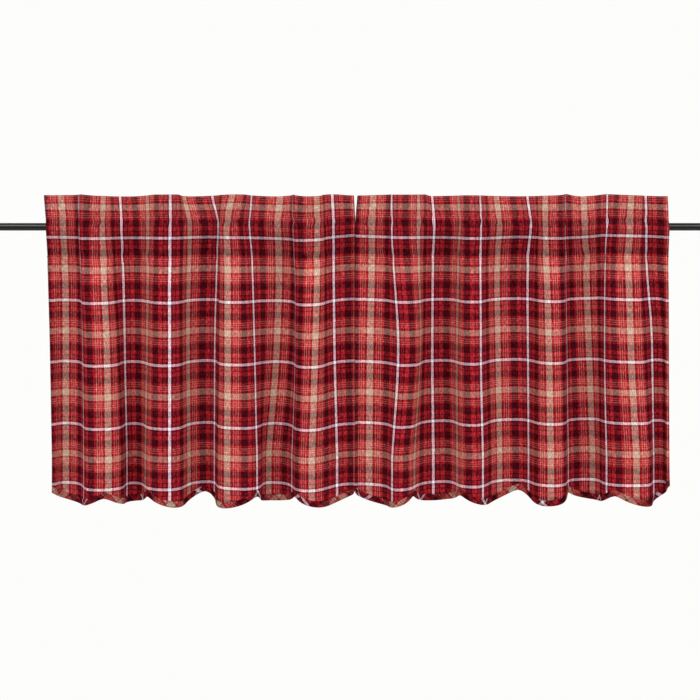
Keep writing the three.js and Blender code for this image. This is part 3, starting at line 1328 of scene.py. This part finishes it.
    def build_binding(self, material: bpy.types.Material) -> bpy.types.Object:
        """Makes the bias strip that is folded over the scalloped edge.

        Args:
            material: its finish.

        Returns:
            The new object.
        """
        rng = np.random.default_rng(self.seed + 1)
        cut = CUTS[self.side]
        cloth = np.linspace(0, PANEL_WIDTH, self.strip_columns + 1)
        half = self.thick / 2 + STRIP_CLEAR
        # round the edge: down the room side, under it and up the window side
        sides = np.concatenate([
            np.linspace(0, 1, 6)[:-1],
            1 + 0.5 * (1 - np.cos(np.linspace(0, math.pi, 7))),
            np.linspace(2, 3, 6)[1:],
        ])
        hem = self.drape.middle(FRONT, np.array([TIP_Z, TIP_Z + 30]), cloth)[0]
        across = normals_level(np.stack([hem, hem]))[0]
        edge = self.drape.edge_z(cloth)
        plump = 1 + ripple(cloth, rng, STRIP_PLUMP)
        width = STRIP_FACE + ripple(cloth, rng, STRIP_WOBBLE)
        grid, flat = [], []
        run = np.concatenate([[0], np.cumsum(np.hypot(np.diff(cloth), np.diff(edge)))])
        for s in sides:
            if s <= 1:
                off, high = -1.0, width * (1 - s)
            elif s >= 2:
                off, high = 1.0, width * (s - 2)
            else:
                off, high = -math.cos(math.pi * (s - 1)), -half * math.sin(math.pi * (s - 1))
            reach = half * plump * off
            row = hem + across * reach[:, None]
            row[:, 2] = edge + high
            grid.append(row)
            across_cut = np.full_like(run, cut.across + STRIP_FACE * (s - 1.5))
            flat.append(np.stack([run + cut.along, across_cut], axis=1))
        strip = np.array(grid)[::-1]
        self.drape.flick(strip, cloth)
        piece = shell(
            f"binding_strip_{self.side.value}",
            strip,
            np.full((len(sides), len(cloth)), STRIP_THICK),
            np.array(flat)[::-1],
        )
        piece.data.materials.append(material)
        return piece

    def build_stitching(self, material: bpy.types.Material) -> bpy.types.Object:
        """Sews the header seam, the pocket seam and the side hems.

        Args:
            material: the thread's finish.

        Returns:
            The new object.
        """
        points, _ = self.surface()
        up, down = self._rows()
        outward = normals(points) * (self.thick / 2 + 0.02)
        room, window = points - outward, points + outward
        # on the back layer the grid runs down, so its outward side is the other one
        lines = []
        for seam in (HEADER_SEAM_Z, POCKET_SEAM_Z):
            lines.append(room[int(np.argmin(abs(up - seam)))])
            back_row = len(up) + 3 + int(np.argmin(abs(down - seam)))
            lines.append(room[back_row])
        front_rows = slice(4, len(up))
        for distance in (self.hem_width - 1.5, PANEL_WIDTH - self.hem_width + 1.5):
            column = int(np.argmin(abs(self.cloth - distance)))
            lines.append(room[front_rows, column])
            lines.append(window[front_rows, column])
        return Stitching().sew(f"stitching_{self.side.value}", lines, material)

    def dress(
        self,
        cotton: bpy.types.Material,
        bias: bpy.types.Material,
        thread: bpy.types.Material,
    ) -> None:
        """Builds the panel's pieces, hangs them on the root body and hides the CAD's panel and
        binding.

        Args:
            cotton: finish of the cloth.
            bias: finish of the binding.
            thread: finish of the stitching.
        """
        name = self.side.value
        cloth = self.build_cloth(cotton)
        binding = self.build_binding(bias)
        stitches = self.build_stitching(thread)
        for piece in (cloth, binding, stitches):
            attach(piece, "root")
            LOG.info("%s: %d faces", piece.name, len(piece.data.polygons))
        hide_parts(f"panel_{name}")
        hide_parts(f"binding_{name}")


# ---- The rod ----


@dataclass
class Rod:
    """The plain round rod that carries both panels."""

    sides: int = 64
    ease: float = 0.8  # rounding of its ends, in millimetres
    lengths: int = 25  # how many lengths its straight part is made in

    def _profile(self, low: float, high: float, radius: float) -> list[tuple[float, float]]:
        """The rod's rings from end to end, each with its place along X and its radius.

        Args:
            low: X of one end, in metres.
            high: X of the other.
            radius: the rod's radius.

        Returns:
            The rings in order.
        """
        ease = self.ease * MM
        end = [(0.0, radius * 0.5)]
        for a in np.linspace(math.pi / 2, 0, 5):
            end.append((ease * (1 - math.sin(a)), radius - ease * (1 - math.cos(a))))
        left = [(low + x, r) for x, r in end]
        middle = [(x, radius) for x in np.linspace(low, high, self.lengths + 1)[1:-1]]
        right = [(high - x, r) for x, r in reversed(end)]
        return left + middle + right

    def build(self, material: bpy.types.Material) -> bpy.types.Object:
        """Makes the rod in the CAD rod's box.

        Args:
            material: its finish.

        Returns:
            The new object.
        """
        low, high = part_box("rod")
        rings = self._profile(low.x, high.x, (high.z - low.z) / 2)
        angles = np.arange(self.sides) * 2 * math.pi / self.sides
        points = [(x, r * math.cos(a), r * math.sin(a)) for x, r in rings for a in angles]
        faces = []
        for k in range(len(rings) - 1):
            for s in range(self.sides):
                a, b = k * self.sides + s, k * self.sides + (s + 1) % self.sides
                faces.append((a, b, b + self.sides, a + self.sides))
        last = len(points)
        points += [(low.x, 0, 0), (high.x, 0, 0)]
        for s in range(self.sides):
            after = (s + 1) % self.sides
            faces.append((last, after, s))
            top = (len(rings) - 1) * self.sides
            faces.append((last + 1, top + s, top + after))
        mesh = bpy.data.meshes.new("rod_bar")
        mesh.from_pydata(points, [], faces)
        mesh.polygons.foreach_set("use_smooth", np.ones(len(faces), bool))
        mesh.update()
        piece = bpy.data.objects.new("rod_bar", mesh)
        bpy.context.scene.collection.objects.link(piece)
        mesh.materials.append(material)
        return piece

    def dress(self, paint: bpy.types.Material) -> None:
        """Builds the rod and stands it for the CAD's.

        Args:
            paint: its finish.
        """
        piece = self.build(paint)
        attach(piece, "root")
        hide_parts("rod")
        LOG.info("%s: %d faces", piece.name, len(piece.data.polygons))


# ---- The studio ----


@dataclass(frozen=True)
class Lamp:
    """A soft square light: its place in metres, its power and the length of its sides."""

    name: str
    place: tuple[float, float, float]
    watts: float
    size: float = 2.4


LAMPS = (
    Lamp("key", (-1.6, -2.6, 2.5), 118),
    Lamp("fill", (2.1, -2.6, 2.1), 103),
)


@dataclass(frozen=True)
class Studio:
    """A white studio: the camera, its soft lights and a white floor."""

    distance: float = 3.2
    height: float = 0.1592
    aside: float = -0.0108
    lens: float = 83.54
    drop: float = 0.2914
    floor_z: float = -1.1
    floor_reach: float = 2.4
    aim: tuple[float, float, float] = (0, 0, -0.2)  # what the lamps face
    glow: float = 0.56  # how strongly the white surroundings light the cloth
    white: str = "#FDFDFB"

    def camera(self) -> None:
        """Level camera, above the rod and shifted down to frame the panels."""
        data = bpy.data.cameras.new("camera")
        data.lens = self.lens
        data.sensor_width = 36
        data.shift_y = -self.drop
        data.clip_end = 200
        camera = bpy.data.objects.new("camera", data)
        camera.location = (self.aside, -self.distance, self.height)
        camera.rotation_euler = (math.pi / 2, 0, 0)
        bpy.context.scene.collection.objects.link(camera)
        bpy.context.scene.camera = camera

    def light(self, lamp: Lamp) -> None:
        """Sets up one lamp and turns it to the middle of the curtains.

        Args:
            lamp: which lamp it is.
        """
        data = bpy.data.lights.new(lamp.name, "AREA")
        data.size = lamp.size
        data.energy = lamp.watts
        stand = bpy.data.objects.new(lamp.name, data)
        stand.location = lamp.place
        towards = Vector(self.aim) - Vector(lamp.place)
        stand.rotation_euler = towards.to_track_quat("-Z", "Y").to_euler()
        bpy.context.scene.collection.objects.link(stand)

    def surroundings(self) -> None:
        """White surroundings: full white to look at, and about half as bright as a light."""
        world = bpy.data.worlds.new("studio")
        bpy.context.scene.world = world
        world.use_nodes = True
        tree = world.node_tree
        tree.nodes.clear()
        seen = add(tree, "ShaderNodeLightPath")
        strength = add(
            tree, "ShaderNodeMapRange", {0: seen.outputs["Is Camera Ray"], 3: self.glow, 4: 1.0}
        )
        shade = add(tree, "ShaderNodeBackground", {0: linear(self.white), 1: strength.outputs[0]})
        add(tree, "ShaderNodeOutputWorld", {0: shade.outputs[0]})

    def build(self) -> None:
        """Sets up the whole studio."""
        bpy.context.scene.view_settings.view_transform = "Standard"
        self.camera()
        self.surroundings()
        for lamp in LAMPS:
            self.light(lamp)
        mesh = bpy.data.meshes.new("floor")
        reach = self.floor_reach
        corners = [(-reach, -reach), (reach, -reach), (reach, reach), (-reach, reach)]
        mesh.from_pydata([(x, y, self.floor_z) for x, y in corners], [], [(0, 1, 2, 3)])
        mesh.materials.append(StudioWhite().build())
        floor = bpy.data.objects.new("floor", mesh)
        bpy.context.scene.collection.objects.link(floor)


def main() -> None:
    """Builds the studio, the rod and both panels."""
    logging.basicConfig(level=logging.INFO, format="%(message)s")
    Studio().build()
    Rod().dress(SatinBlackPaint().build())
    cotton = CheckCotton().build()
    bias = CheckCotton(
        name="bias_cut_cotton_check_painted_shade",
        turned=45.0,
        # painted shade over the whole strip: it is drawn darker, as it turns down under the edge
        # into shade
        doubled=2000.0,
        painted_shade=0.84,
    ).build()
    thread = SewingThread().build()
    for side, seed in ((Side.LEFT, 11), (Side.RIGHT, 23)):
        Panel(side, seed).dress(cotton, bias, thread)


if __name__ == "__main__":
    main()
